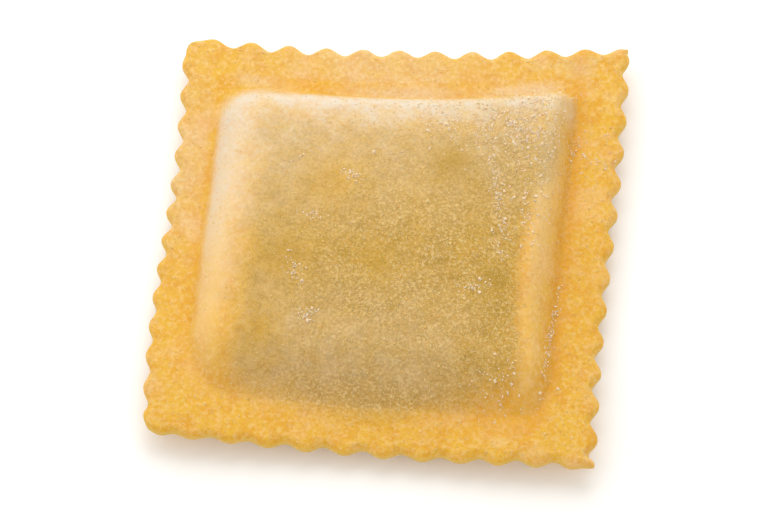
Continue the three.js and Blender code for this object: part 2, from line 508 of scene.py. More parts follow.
@dataclass(frozen=True)
class RolledEggDough:
    """Fresh egg dough, rolled between rollers and left to dry a little on a floured board.

    Durum flour and yolk make it golden and matt, and a thin sheet of it lets some light through. Where it is
    stretched over the filling, the filling's olive brown shows. Where it was handled, it wears a film of
    flour.
    """

    golden: str = "E5B33C"
    deep_golden: str = "DE9E2C"
    pale_golden: str = "F0CB88"
    dry_blush: str = "EFC692"
    # painted shade in the crease round the pocket, and the moist dough along the filling's edge
    shade_and_moist_amber: str = "DF9A26"
    # paler dough on the left wall and the right ridge: stretched thin, and partly a painted highlight
    stretched: str = "F6C566"
    filling_tan: str = "C59B44"
    filling_olive: str = "AA862C"
    filling_gold: str = "D5A63A"
    flour_film: str = "E2D3BE"
    semolina_dust: str = "E8CA90"
    cut_edge: str = "E2BC62"
    mottle_size: float = 1.6  # patches of drier and moister dough
    bran_size: float = 0.5  # flecks of bran and yolk
    grit_size: float = 0.3  # semolina grit pressed into the sheet, drawn a little coarse so that it shows
    lump_size: float = 4.5  # crumbs of the filling that show through the sheet
    grit_height: float = 0.04
    film_opacity: float = 0.6  # of the thinnest of the flour's film
    light_depth: float = 0.9  # how far the light wanders in the dough
    roughness: tuple[float, float] = (0.62, 0.85)

    def masks(self, tree: bpy.types.NodeTree) -> dict[str, bpy.types.NodeSocket]:
        """Adds the noises and the skin's attributes, and works out from them where each tint belongs.

        Args:
            tree: the material's node tree.

        Returns:
            A socket for each mask, from 0 to 1, by its name.
        """
        place = add_node(tree, "ShaderNodeTexCoord", {}).outputs["Object"]
        patches, flecks, grit, lumps = (
            add_node(
                tree,
                "ShaderNodeTexNoise",
                {"Scale": 1 / (size * MM), "Detail": detail, "Roughness": 0.6, "Vector": place},
            ).outputs["Fac"]
            for size, detail in (
                (self.mottle_size, 3.0),
                (self.bran_size, 2.0),
                (self.grit_size, 1.0),
                (self.lump_size, 3.0),
            )
        )
        found = {
            name: add_node(tree, "ShaderNodeAttribute", {"attribute_name": name}).outputs["Fac"]
            for name in DoughSkin.LOOKS
        }
        # Each is a noise, stretched between two of its values until its edges are as soft as the real ones.
        for name, noise, low, high in (
            ("deep", patches, 0.42, 0.66),
            ("pale", flecks, 0.46, 0.64),
            ("blush", lumps, 0.48, 0.32),
            ("olive patches", patches, 0.48, 0.66),
            ("gold lumps", lumps, 0.5, 0.68),
            ("coarse grit", grit, 0.52, 0.66),
            ("pits", grit, 0.47, 0.33),
        ):
            limits = {"From Min": low, "From Max": high, "Value": noise}
            found[name] = add_node(tree, "ShaderNodeMapRange", limits).outputs["Result"]
        for name, look, mask in (
            ("gold filling", "filling", found["gold lumps"]),
            ("olive filling", "filling", found["olive patches"]),
            ("flecked flour", "flour", flecks),
            ("gritty dusting", "dusting", found["coarse grit"]),
            ("pitted filling", "filling", found["pits"]),
        ):
            factors = {"operation": "MULTIPLY", 0: found[look], 1: mask}
            found[name] = add_node(tree, "ShaderNodeMath", factors).outputs["Value"]
        # The film thins out over the flecks, but never opens quite down to the dough.
        film = {"operation": "MULTIPLY_ADD", "use_clamp": True}
        film |= {0: found["flour"], 1: self.film_opacity, 2: found["flecked flour"]}
        found["film"] = add_node(tree, "ShaderNodeMath", film).outputs["Value"]
        return found | {"flecks": flecks, "grit": grit}

    def material(self) -> bpy.types.Material:
        """Builds the dough's material, which reads the skin's attributes for where each look belongs.

        Returns:
            The material.
        """
        material = new_material("rolled_egg_dough")
        tree = material.node_tree
        masks = self.masks(tree)

        painted = linear(self.golden)
        for mask, share, tint in (
            ("deep", 0.8, self.deep_golden),
            ("pale", 0.5, self.pale_golden),
            ("blush", 0.4, self.dry_blush),
            ("pits", 0.5, self.deep_golden),
            # painted shade in the crease round the pocket, with the moist dough along the filling's edge
            ("crease", 0.7, self.shade_and_moist_amber),
            # the left wall and the right ridge made paler, partly a painted highlight
            ("stretched", 0.7, self.stretched),
            ("filling", 0.95, self.filling_tan),
            ("gold filling", 0.35, self.filling_gold),
            ("olive filling", 0.4, self.filling_olive),
            ("herbs", 0.7, self.filling_olive),
            ("pitted filling", 0.6, self.filling_olive),
            ("film", 1.0, self.flour_film),
            ("cut", 0.7, self.cut_edge),
            ("gritty dusting", 0.75, self.semolina_dust),
        ):
            factors = {"operation": "MULTIPLY", 0: masks[mask], 1: share}
            factor = add_node(tree, "ShaderNodeMath", factors).outputs["Value"]
            colours = {"data_type": "RGBA", MIX_FACTOR: factor, MIX_LOWER: painted, MIX_UPPER: linear(tint)}
            painted = add_node(tree, "ShaderNodeMix", colours).outputs[MIX_RESULT]

        low, high = self.roughness
        limits = {"To Min": low, "To Max": high, "Value": masks["flecks"]}
        matt = add_node(tree, "ShaderNodeMapRange", limits).outputs["Result"]
        relief = {"Strength": 0.6, "Distance": 2 * self.grit_height * MM, "Height": masks["flecks"]}
        soft = add_node(tree, "ShaderNodeBump", relief).outputs["Normal"]
        relief = {"Strength": 0.6, "Distance": self.grit_height * MM, "Height": masks["grit"]}
        gritty = add_node(tree, "ShaderNodeBump", relief | {"Normal": soft}).outputs["Normal"]
        shader = add_node(
            tree,
            "ShaderNodeBsdfPrincipled",
            {
                "Base Color": painted,
                "Roughness": matt,
                "Normal": gritty,
                "IOR": 1.45,
                "Specular IOR Level": 0.3,
                "Subsurface Weight": 0.22,
                "Subsurface Radius": (1.0, 0.6, 0.25),
                "Subsurface Scale": self.light_depth * MM,
            },
        )
        add_node(tree, "ShaderNodeOutputMaterial", {"Surface": shader.outputs["BSDF"]})
        return material


@dataclass(frozen=True)
class MilledWheat:
    """Durum wheat, milled and scattered dry: hard, pale, slightly glassy grains.

    Each grain has its own shade, from nearly white flour to amber wheat.
    """

    name: str
    floury: str
    wheaten: str
    roughness: float
    light_depth: float = 0.3  # how far the light wanders in a grain, in millimetres

    def material(self) -> bpy.types.Material:
        """Builds the grains' material, which reads each grain's shade.

        Returns:
            The material.
        """
        material = new_material(self.name)
        tree = material.node_tree
        shade = add_node(tree, "ShaderNodeAttribute", {"attribute_name": "shade"}).outputs["Fac"]
        colours = {"data_type": "RGBA", MIX_FACTOR: shade}
        colours |= {MIX_LOWER: linear(self.floury), MIX_UPPER: linear(self.wheaten)}
        tone = add_node(tree, "ShaderNodeMix", colours).outputs[MIX_RESULT]
        shader = add_node(
            tree,
            "ShaderNodeBsdfPrincipled",
            {
                "Base Color": tone,
                "Roughness": self.roughness,
                "IOR": 1.5,
                "Specular IOR Level": 0.35,
                "Subsurface Weight": 0.6,
                "Subsurface Radius": (1.0, 0.7, 0.4),
                "Subsurface Scale": self.light_depth * MM,
            },
        )
        add_node(tree, "ShaderNodeOutputMaterial", {"Surface": shader.outputs["BSDF"]})
        return material


# Sharp grains of the wheat's hard core, which give the dough its gritty sparkle.
COARSE_SEMOLINA = MilledWheat("coarse_semolina", floury="EFCB8C", wheaten="DDA84C", roughness=0.6)

# Soft flour that caught some moisture and dried in crumbs, paler and quite matt.
CAKED_FLOUR = MilledWheat("caked_flour", floury="F6D9BA", wheaten="E8BF90", roughness=0.9)


@dataclass(frozen=True)
class OpalAcrylic:
    """A matt sheet of opal acrylic, lit faintly from below.

    The glow keeps the ground white up to the piece, so that only the near shadow shows.
    """

    sheet: str = "FDFDFD"
    glow: float = 0.07
    roughness: float = 0.9

    def material(self) -> bpy.types.Material:
        """Builds the floor's material.

        Returns:
            The material.
        """
        material = new_material("matt_opal_acrylic")
        tree = material.node_tree
        shader = add_node(
            tree,
            "ShaderNodeBsdfPrincipled",
            {
                "Base Color": linear(self.sheet),
                "Roughness": self.roughness,
                "Specular IOR Level": 0.1,
                "Emission Color": linear(self.sheet),
                "Emission Strength": self.glow,
            },
        )
        add_node(tree, "ShaderNodeOutputMaterial", {"Surface": shader.outputs["BSDF"]})
        return material


# --- Pieces ---


def make_piece(
    name: str,
    points: np.ndarray,
    faces: Sequence[np.ndarray],
    looks: dict[str, np.ndarray],
    material: bpy.types.Material,
    smooth: bool,
) -> bpy.types.Object:
    """Makes a mesh object from points and faces.

    Args:
        name: the piece's name.
        points: mesh points in millimetres, of shape (count, 3).
        faces: arrays of point numbers, of shape (count, corners), with three or four corners to a face.
        looks: one value for each point, by the name of the attribute that holds it.
        material: the finish.
        smooth: whether the faces are shaded as one smooth surface.

    Returns:
        The new object, linked to the scene.
    """
    mesh = bpy.data.meshes.new(name)
    corners = np.concatenate([f.ravel() for f in faces])
    sizes = np.concatenate([np.full(len(f), f.shape[1]) for f in faces])
    mesh.vertices.add(len(points))
    mesh.vertices.foreach_set("co", (points * MM).ravel())
    mesh.loops.add(len(corners))
    mesh.loops.foreach_set("vertex_index", corners)
    mesh.polygons.add(len(sizes))
    mesh.polygons.foreach_set("loop_start", np.cumsum(sizes) - sizes)
    mesh.update(calc_edges=True)
    mesh.polygons.foreach_set("use_smooth", np.full(len(sizes), smooth))
    for look, values in looks.items():
        mesh.attributes.new(look, "FLOAT", "POINT").data.foreach_set("value", values.astype(np.float32))
    mesh.validate()
    mesh.materials.append(material)
    piece = bpy.data.objects.new(name, mesh)
    bpy.context.scene.collection.objects.link(piece)
    triangles = int(np.sum(sizes - 2))
    LOG.info("%s: %d points, %d triangles", name, len(points), triangles)
    return piece


@dataclass(frozen=True)
class BareSpot:
    """A spot of the top that the flour missed, so that the moist dough shows. Millimetres in plan."""

    x: float
    y: float
    reach: float
    herbs: float = 0  # how strongly the filling's herbs show through there

    def share(self, plan: np.ndarray) -> np.ndarray:
        """Is 1 in the middle of the spot and falls away round it."""
        return bell(np.linalg.norm(plan - (self.x, self.y), axis=-1), 0, self.reach)


BARE_SPOTS = (
    BareSpot(-6.0, 4.0, reach=3.2),
    BareSpot(-1.0, -5.5, reach=2.2, herbs=0.6),
    BareSpot(11.5, -6.0, reach=1.9, herbs=0.9),
    BareSpot(6.0, 7.0, reach=2.6, herbs=0.8),
    BareSpot(-12.5, -13.5, reach=2.2, herbs=0.3),
    BareSpot(-10.5, -5.0, reach=2.4, herbs=0.5),
)


@dataclass(frozen=True)
class Fall:
    """A streak of flour that fell on one spot. Places and lengths are shares of the top's grid."""

    across: float
    away: float
    length: float
    width: float
    turn: float  # degrees anticlockwise from across
    count: int


FALLS = (
    Fall(0.88, 0.30, length=0.16, width=0.008, turn=85, count=150),
    Fall(0.73, 0.60, length=0.17, width=0.02, turn=102, count=200),
    Fall(0.77, 0.76, length=0.20, width=0.06, turn=-8, count=420),
    Fall(0.72, 0.74, length=0.22, width=0.10, turn=-4, count=300),
    Fall(0.80, 0.62, length=0.20, width=0.06, turn=95, count=240),
    Fall(0.80, 0.80, length=0.10, width=0.05, turn=60, count=200),
    Fall(0.32, 0.38, length=0.05, width=0.02, turn=110, count=60),
    Fall(0.36, 0.28, length=0.04, width=0.02, turn=40, count=40),
    Fall(0.41, 0.62, length=0.035, width=0.015, turn=150, count=44),
    Fall(0.34, 0.52, length=0.04, width=0.012, turn=170, count=30),
    Fall(0.70, 0.37, length=0.03, width=0.015, turn=20, count=44),
    Fall(0.74, 0.38, length=0.012, width=0.01, turn=60, count=8),
    Fall(0.32, 0.68, length=0.07, width=0.008, turn=34, count=26),
    Fall(0.78, 0.16, length=0.08, width=0.05, turn=0, count=90),
)


class TopSpots:
    """Points of the top, where they lie on the pocket, and how the dough's looks fall on them.

    All its looks are shares from 0 to 1, or a little past them, of the points' own shape.
    """

    def __init__(self, form: RavioloForm, noise: GradientNoise, plan: np.ndarray) -> None:
        """Measures where the points lie.

        Args:
            form: the form of the piece.
            noise: the noise that blurs and breaks up the looks.
            plan: plan points, of shape (..., 2).
        """
        self.insets = insets = form.insets(plan)
        self.depth = form.depth(plan)
        self.across = np.clip(insets.left / (insets.left + insets.right), 0, 1)
        self.away = np.clip(insets.front / (insets.front + insets.back), 0, 1)
        self.inside = ease(-0.1, 0.3, self.depth)
        self.wander = 1.2 * noise.layered(plan + 90, 6, 3)
        self.patchy = np.clip(0.5 + 0.5 * noise.layered(plan + 130, 3.2, 3), 0, 1)
        self.blotchy = np.clip(0.5 + 0.6 * noise.layered(plan + 170, 2.0, 3), 0, 1)
        self.right_ridge = bell(insets.right / RIGHT.run, 0.8, 0.4) * self.inside
        # The two stretches of rim behind the pocket where the crease gets a painted shade.
        self.behind = 0.6 * bell(self.across, 0.26, 0.14) + 0.4 * bell(self.across, 0.7, 0.08)

    def filling(self, bare: np.ndarray) -> np.ndarray:
        """Finds where the filling shows through the dough.

        Args:
            bare: the share of each point that no flour covers.

        Returns:
            The look's shares.
        """
        insets, across, away, wander = self.insets, self.across, self.away, self.wander
        # It shows from these distances inside the creases on, in millimetres.
        from_left, left_blur = 5.0 + 0.8 * away, 2.2
        from_right = 3.4 + 1.5 * bell(away, 0.4, 0.18) - 1.8 * ease(0.55, 0.8, away)
        right_blur = 1.2
        from_front = 2.3 - 2.9 * bell(across, 0.48, 0.33) + 2.2 * ease(0.7, 0.95, across)
        return (
            ease(-1, 1, (insets.left + wander - from_left) / left_blur)
            * ease(2.6, 8.0, insets.back + wander)
            * ease(-1, 1, (insets.right + 0.35 * wander - from_right) / right_blur)
            * ease(-2.2, 2.2, insets.front + 0.5 * wander - from_front)
            * (1 - 0.15 * ease(0.55, 0.85, self.blotchy))
            # painted light: paler towards the front, which offsets the shade on the near slope
            * (1 - 0.15 * ease(0.3, 0.1, away))
            * (1 - 0.27 * ease(0.45, 0.9, away) * ease(0.85, 0.35, across))
            * (1 - 0.15 * ease(0.4, 0.1, across) * ease(0.5, 0.2, away))
            * (1 - 0.25 * bare)
        )

    def stretched(self) -> np.ndarray:
        """Finds the paler dough on the left wall and the right ridge: stretched thin, and partly a painted
        highlight.

        Returns:
            The look's shares.
        """
        on_left, away = self.insets.left / LEFT.run, self.away
        left_wall = bell(on_left, 0.55, 0.45) * ease(0.95, 0.6, away) * ease(0.02, 0.2, away)
        right = self.right_ridge * (0.35 + 0.65 * ease(0.3, 0.7, away))
        return self.inside * (0.8 + 0.3 * self.patchy) * np.maximum(left_wall, right)

    def flour(self) -> np.ndarray:
        """Finds the film of flour: thick on the back and left ridges, thin on the face and parts of the rim.

        Returns:
            The look's shares.
        """
        insets, across, away, inside = self.insets, self.across, self.away, self.inside
        patchy, blotchy = self.patchy, self.blotchy
        on_back, on_left = insets.back / BACK.run, insets.left / LEFT.run
        back_reach = 2.9 - 0.55 * ease(0.4, 0.9, across) + 0.8 * (patchy - 0.5) + 0.5 * (blotchy - 0.5)
        back_ridge = ease(0.1, 0.9, on_back) * ease(back_reach, 0.2 * back_reach, on_back) * inside
        left_reach = 1.6 + 1.5 * away + 0.5 * (patchy - 0.5)
        left_ridge = ease(-0.05, 0.3, on_left) * ease(left_reach, 0.05 * left_reach, on_left) * inside
        near_veil = inside * bell(away, 0.12, 0.22) * ease(0.06, 0.2, across) * ease(0.9, 0.6, across)
        veil = ease(0.7, 1.3, self.depth) * ease(0.35, 1.15, away + 0.25 * (0.5 - across) + 0.1 * patchy)
        between_sides = ease(0.5, 4, np.minimum(insets.left, insets.right))
        return np.maximum.reduce(
            [
                back_ridge * (0.8 + 0.4 * (blotchy - 0.4)) * ease(1.1, 0.88, across),
                left_ridge * (0.15 + 0.62 * ease(0.1, 0.8, away)) * (0.85 + 0.3 * patchy),
                self.right_ridge * (0.02 + 0.32 * away),
                veil * (0.25 + 0.26 * blotchy),
                near_veil * (0.1 + 0.18 * blotchy),
                0.12 * bell(insets.front, 0.6, 1.3) * bell(across, 0.35, 0.3),
                0.4 * (1 - 1.6 * self.behind) * bell(insets.back, -0.5, 0.9) * between_sides,
                0.2 * ease(0.3, 0.9, patchy) * bell(insets.back, -2.5, 1.8) * ease(0.6, 0.85, across),
                0.32 * (0.4 + 0.6 * patchy) * ease(-1.0, -2.0, insets.back) * bell(across, 0.45, 0.3),
                0.3 * (0.4 + 0.6 * patchy) * ease(0.3, -0.8, insets.left) * bell(away, 0.7, 0.25),
            ]
        )

    def crease(self) -> np.ndarray:
        """Finds the painted shade of the crease round the pocket, and the moist amber dough along the
        filling's edge.

        Returns:
            The look's shares.
        """
        insets, across, away = self.insets, self.across, self.away
        crease = bell(self.depth, -0.05, 0.25) * (0.3 + 0.5 * ease(0.6, 1, across)) * (1 - 0.3 * self.patchy)
        moist = np.maximum.reduce(
            [
                0.35 * bell(insets.left, 4.2, 0.9) * ease(0.65, 0.35, away),
                0.45 * bell(insets.right, 4.1, 0.9) * ease(0.72, 0.5, away),
                0.5 * bell(insets.front, 1.2, 1.3) * bell(across, 0.9, 0.1),
            ]
        )
        # The crease line, the right crease and the rim behind the pocket get a painted shade, darker amber
        # where the wall shades the rim. The moist bands along the filling are the dough's own colour.
        return np.maximum.reduce(
            [
                crease * (1 - 0.7 * ease(0.8, 0.95, away)),
                0.75 * bell(insets.right, 0.1, 0.9) * ease(-0.1, 0.3, away),
                moist * self.inside * (0.7 + 0.5 * self.blotchy),
                self.behind * bell(insets.back, -0.7, 1.0) * (0.6 + 0.5 * self.blotchy),
            ]
        )

    def dusting(self, filling: np.ndarray) -> tuple[np.ndarray, np.ndarray]:
        """Finds where the dusting lies: most where the filling kept the dough moist, and little on the rim.

        Args:
            filling: where the filling shows.

        Returns:
            Where the coarse semolina lies, and where the finest flour does.
        """
        across, away = self.across, self.away
        speckled = 0.25 + 0.75 * ease(0.1, 0.5, across) * ease(1.1, 0.4, away)
        upper_right = bell(across, 0.85, 0.22) * bell(away, 0.8, 0.25)
        on_face = np.maximum(speckled * (0.2 + 0.8 * filling), upper_right)
        on_rim = 0.12 + 0.07 * ease(0.3, 0.9, across)
        near_slope = 0.6 * bell(self.insets.front, 0.8, 2.0) * bell(across, 0.42, 0.25)
        coarse = np.where(self.depth > 0, on_face, on_rim) * (0.5 + 0.7 * self.patchy) + near_slope
        fine = np.where(self.depth > 0, 0.05 + 0.95 * on_face, on_rim) * (0.6 + 0.5 * self.patchy)
        return coarse, fine


@dataclass
class DoughSkin:
    """The outer surface of the piece: both faces and the cut edge between them, as one closed mesh."""

    form: RavioloForm
    cells: int = 260  # along each side of the top, and twice as many as on the underside
    tooth_blend: float = 2.6  # how far in from the cut the grid still follows the teeth
    edge_pinch: float = 0.4  # how much each face is rolled in at the cut
    pinch_width: float = 1.1
    edge_bulge: float = 0.12  # the cut face swells between its two edges
    seam_depth: float = 0.09  # a groove in the cut face, where the two sheets meet
    seam_width: float = 0.09  # in shares of the cut face's height
    seam_wander: float = 0.07
    torn_relief: float = 0.03  # how roughly the wheel tore the cut face
    rolled_dents: tuple[float, float] = (0.045, 1.7)  # the height and size of the rolled dough's dents
    rolled_swells: tuple[float, float] = (0.07, 5.5)  # and of its slow swells
    crumbs_fine: tuple[float, float] = (0.05, 1.3)  # the same for the filling's crumbs under the dough
    crumbs_coarse: tuple[float, float] = (0.11, 3.1)
    cut_levels: tuple[float, ...] = (0.07, 0.2, 0.36, 0.5, 0.64, 0.8, 0.93)

    LOOKS = ("filling", "flour", "crease", "stretched", "herbs", "cut", "dusting")
    SPECKS = "specks"  # where the finest flour lies, which is not a look of the dough itself

    def __post_init__(self) -> None:
        """Draws the seeded noise and builds the top's grid, which the dusting is scattered on."""
        self.noise = GradientNoise(seed=11)
        self.plan = self.plan_grid(self.cells)
        self.top = self.face_points(self.plan, Face.TOP)
        self.looks = self.top_looks(self.plan)

    def plan_grid(self, cells: int) -> np.ndarray:
        """Spreads a grid over the plan, whose border follows the teeth.

        Args:
            cells: how many cells there are along each side.

        Returns:
            Plan points of shape (cells + 1, cells + 1, 2), by row from front to back.
        """
        share = np.linspace(0, 1, cells + 1)
        across, away = share[None, :, None], share[:, None, None]
        smooth, teeth = {}, {}
        for side, run in ((FRONT, share), (RIGHT, share), (BACK, 1 - share), (LEFT, 1 - share)):
            distance = run * side.length
            smooth[side] = side.edge(distance, toothed=False)
            teeth[side] = side.edge(distance, toothed=True) - smooth[side]
        rows = (1 - away) * smooth[FRONT][None] + away * smooth[BACK][None]
        columns = (1 - across) * smooth[LEFT][:, None] + across * smooth[RIGHT][:, None]
        corners = (1 - away) * ((1 - across) * smooth[FRONT][0] + across * smooth[FRONT][-1])
        corners = corners + away * ((1 - across) * smooth[BACK][0] + across * smooth[BACK][-1])
        grid = rows + columns - corners
        for from_side, pull in (
            (away * LEFT.length, teeth[FRONT][None]),
            ((1 - away) * RIGHT.length, teeth[BACK][None]),
            (across * FRONT.length, teeth[LEFT][:, None]),
            ((1 - across) * BACK.length, teeth[RIGHT][:, None]),
        ):
            grid = grid + pull * ease(self.tooth_blend, 0, from_side)
        return grid

    def from_edge(self, cells: int) -> np.ndarray:
        """Measures how far each point of a grid is from the nearest cut.

        Args:
            cells: how many cells there are along each side of the grid.

        Returns:
            Distances in millimetres, of shape (cells + 1, cells + 1).
        """
        share = np.linspace(0, 1, cells + 1)
        inset = np.minimum(share, 1 - share)
        return np.minimum(inset[:, None] * LEFT.length, inset[None, :] * FRONT.length)

    def relief(self, plan: np.ndarray, face: Face) -> np.ndarray:
        """Finds the fine unevenness of the dough.

        Args:
            plan: plan points, of shape (..., 2).
            face: which face they are on.

        Returns:
            Heights in millimetres to add to the form.
        """
        (dent, dent_size), (swell, swell_size) = self.rolled_dents, self.rolled_swells
        pressed = dent * self.noise.layered(plan, dent_size, 3) + swell * self.noise.at(plan, swell_size)
        if face is Face.UNDERSIDE:
            on_belly = self.form.wall(self.form.depth(plan) / self.form.belly_run, self.form.belly_softness)
            return pressed * (1 - on_belly)
        stretched = ease(0.3, 1.1, self.form.depth(plan))
        (fine, fine_size), (coarse, coarse_size) = self.crumbs_fine, self.crumbs_coarse
        filling = coarse * self.noise.at(plan + 40, coarse_size)
        filling = filling + fine * self.noise.layered(plan + 70, fine_size, 2)
        return pressed + filling * stretched

    def face_points(self, plan: np.ndarray, face: Face) -> np.ndarray:
        """Lifts a plan grid to one face.

        Args:
            plan: a grid of plan points, whose border is the cut.
            face: which face.

        Returns:
            Points of shape (rows, columns, 3), in millimetres.
        """
        roll = self.edge_pinch * np.maximum(0, 1 - self.from_edge(len(plan) - 1) / self.pinch_width) ** 2
        height = self.form.height(plan, face) + self.relief(plan, face)
        height = height - roll if face is Face.TOP else height + roll
        return np.concatenate([plan, height[..., None]], axis=-1)

    def top_looks(self, plan: np.ndarray) -> dict[str, np.ndarray]:
        """Says where on the top each look of the dough belongs.

        Args:
            plan: plan points, of shape (..., 2).

        Returns:
            For each of LOOKS, and for SPECKS, shares from 0 to 1, of shape (...).
        """
        spots = TopSpots(self.form, self.noise, plan)
        bare = np.maximum.reduce([spot.share(plan) for spot in BARE_SPOTS])
        filling = spots.filling(bare)
        dusting, specks = spots.dusting(filling)
        return {
            "filling": filling,
            "flour": np.clip(spots.flour(), 0, 1) * (1 - 0.8 * bare),
            "crease": np.clip(spots.crease(), 0, 1),
            "stretched": spots.stretched(),
            "herbs": np.maximum.reduce([spot.herbs * spot.share(plan) for spot in BARE_SPOTS]),
            "cut": np.zeros_like(bare),
            "dusting": np.clip(dusting, 0, 1) * (1 - 0.7 * bare),
            self.SPECKS: np.clip(specks, 0, 1) * (1 - 0.7 * bare),
        }

    def underside_looks(self, plan: np.ndarray) -> dict[str, np.ndarray]:
        """Says where on the underside each look of the dough belongs.

        Args:
            plan: plan points, of shape (..., 2).

        Returns:
            For each of LOOKS, shares from 0 to 1, of shape (...).
        """
        depth = self.form.depth(plan)
        patchy = 0.5 + 0.5 * self.noise.layered(plan + 210, 4, 3)
        return {name: np.zeros_like(depth) for name in self.LOOKS} | {
            "filling": 0.45 * ease(0.6, 2.2, depth + 0.4 * patchy),
            "flour": 0.45 * ease(0.3, 0.9, patchy) * ease(-1, 1, depth),
            # a band of the crease's amber where the belly leaves the rim, painted shade as on the top
            "crease": 0.6 * bell(depth, 0, 0.25),
            "dusting": np.clip(0.3 + 0.5 * patchy, 0, 1),
        }

    def cut_rows(self, rim: np.ndarray) -> np.ndarray:
        """Builds the rows of points on the cut face, between the two faces' borders.

        Args:
            rim: the border of the top, anticlockwise, of shape (count, 3).

        Returns:
            Points of shape (levels, count, 3), from the top down.
        """
        plan = rim[:, :2]
        low = self.form.height(plan, Face.UNDERSIDE) + self.relief(plan, Face.UNDERSIDE) + self.edge_pinch
        tangent = np.roll(plan, -1, axis=0) - np.roll(plan, 1, axis=0)
        outward = np.stack([tangent[:, 1], -tangent[:, 0]], axis=-1)
        outward /= np.linalg.norm(outward, axis=-1, keepdims=True)
        rows = []
        for level in self.cut_levels:
            seam = bell(level + self.seam_wander * self.noise.at(plan, 4), 0.5, self.seam_width)
            torn = self.torn_relief * self.noise.at(plan + 50 * level, 0.7)
            swell = self.edge_bulge * math.sqrt(1 - (2 * level - 1) ** 2) - self.seam_depth * seam + torn
            height = rim[:, 2] + level * (low - rim[:, 2])
            rows.append(np.concatenate([plan + swell[:, None] * outward, height[:, None]], axis=-1))
        return np.stack(rows)

    def build(self, material: bpy.types.Material) -> bpy.types.Object:
        """Builds the closed skin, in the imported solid's place.

        Args:
            material: the dough's finish.

        Returns:
            The skin's object.
        """
        fine, coarse = self.cells, self.cells // 2
        under_plan = self.plan_grid(coarse)
        under = self.face_points(under_plan, Face.UNDERSIDE)
        rim = border(self.top)
        cut = self.cut_rows(rim)

        top_numbers = np.arange((fine + 1) ** 2).reshape(fine + 1, fine + 1)
        cut_numbers = np.arange(cut[..., 0].size).reshape(cut.shape[:2]) + top_numbers.size
        under_numbers = np.arange((coarse + 1) ** 2).reshape(coarse + 1, coarse + 1)
        under_numbers = under_numbers + top_numbers.size + cut_numbers.size

        rows = [border(top_numbers), *cut_numbers]
        faces = [grid_faces(top_numbers), grid_faces(under_numbers)[:, ::-1]]
        for upper, lower in zip(rows, rows[1:]):
            faces.append(np.stack([lower, np.roll(lower, -1), np.roll(upper, -1), upper], axis=-1))
        low = border(under_numbers)
        low_next = np.roll(low, -1)
        start, middle, end = rows[-1][::2], rows[-1][1::2], np.roll(rows[-1], -2)[::2]
        for corners in ((start, low, middle), (middle, low, low_next), (middle, low_next, end)):
            faces.append(np.stack(corners, axis=-1))

        points = np.concatenate([part.reshape(-1, 3) for part in (self.top, cut, under)])
        points[:, :2] += self.shift()
        under_looks = self.underside_looks(under_plan)
        on_cut = {name: np.full(cut_numbers.size, float(name == "cut")) for name in self.LOOKS}
        looks = {
            name: np.concatenate([self.looks[name].ravel(), on_cut[name], under_looks[name].ravel()])
            for name in self.LOOKS
        }
        return make_piece("pasta_skin", points, faces, looks, material, smooth=True)

    def shift(self) -> np.ndarray:
        """Measures what moves the plan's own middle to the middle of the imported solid.

        Returns:
            The move in millimetres, across and away.
        """
        low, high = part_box(NODE)
        rim = border(self.plan)
        return np.array((low + high).xy) / 2 / MM - (rim.min(axis=0) + rim.max(axis=0)) / 2

    def surface(self, places: np.ndarray) -> tuple[np.ndarray, np.ndarray]:
        """Takes points of the finished top.

        Args:
            places: how far across and away each point is on the grid, as shares, of shape (count, 2).

        Returns:
            The points in millimetres, and the surface's normals there.
        """
        steps = places * self.cells
        cell = np.minimum(steps.astype(int), self.cells - 1)
        column, row = cell[:, 0], cell[:, 1]
        right, up = (steps - cell).T[..., None]
        corner = self.top[row, column]
        beside = self.top[row, column + 1] - corner
        beyond = self.top[row + 1, column] - corner
        normals = np.cross(beside, beyond)
        normals /= np.linalg.norm(normals, axis=-1, keepdims=True)
        points = corner + right * beside + up * beyond
        points[:, :2] += self.shift()
        return points, normals

    def look_at(self, name: str, places: np.ndarray) -> np.ndarray:
        """Takes one look of the top at places given as surface takes them."""
        column, row = np.minimum((places * self.cells).astype(int), self.cells - 1).T
        return self.looks[name][row, column]


def border(grid: np.ndarray) -> np.ndarray:
    """Takes a square grid's border.

    Args:
        grid: an array of shape (rows, columns, ...), with its front row first.

    Returns:
        Its border anticlockwise from the front left, each item once.
    """
    return np.concatenate([grid[0, :-1], grid[:-1, -1], grid[-1, :0:-1], grid[:0:-1, 0]])


def grid_faces(numbers: np.ndarray) -> np.ndarray:
    """The four-cornered faces of a grid of point numbers, which face up."""
    corners = (numbers[:-1, :-1], numbers[:-1, 1:], numbers[1:, 1:], numbers[1:, :-1])
    return np.stack([c.ravel() for c in corners], axis=-1)


class Blank(Enum):
    """The round blanks that grains are made from, by their number of faces."""

    OCTAHEDRON = 8
    ICOSAHEDRON = 20


def cut_blank(blank: Blank) -> tuple[np.ndarray, np.ndarray]:
    """Makes the blank of a grain.

    Args:
        blank: which one.

    Returns:
        Its points, one unit from the middle, and its triangles.
    """
    if blank is Blank.OCTAHEDRON:
        points, side = np.concatenate([np.eye(3), -np.eye(3)]), math.sqrt(2)
    else:
        golden = (1 + math.sqrt(5)) / 2
        flat = [(0, a, b * golden) for a in (-1, 1) for b in (-1, 1)]
        points, side = np.array([np.roll(p, turn) for turn in range(3) for p in flat], dtype=float), 2.0
    triangles = []
    for i, j, k in itertools.combinations(range(len(points)), 3):
        if max(math.dist(points[a], points[b]) for a, b in ((i, j), (j, k), (k, i))) < side + 0.1:
            turned = np.dot(np.cross(points[j] - points[i], points[k] - points[i]), points[i]) < 0
            triangles.append((i, k, j) if turned else (i, j, k))
    return points / np.linalg.norm(points[0]), np.array(triangles)


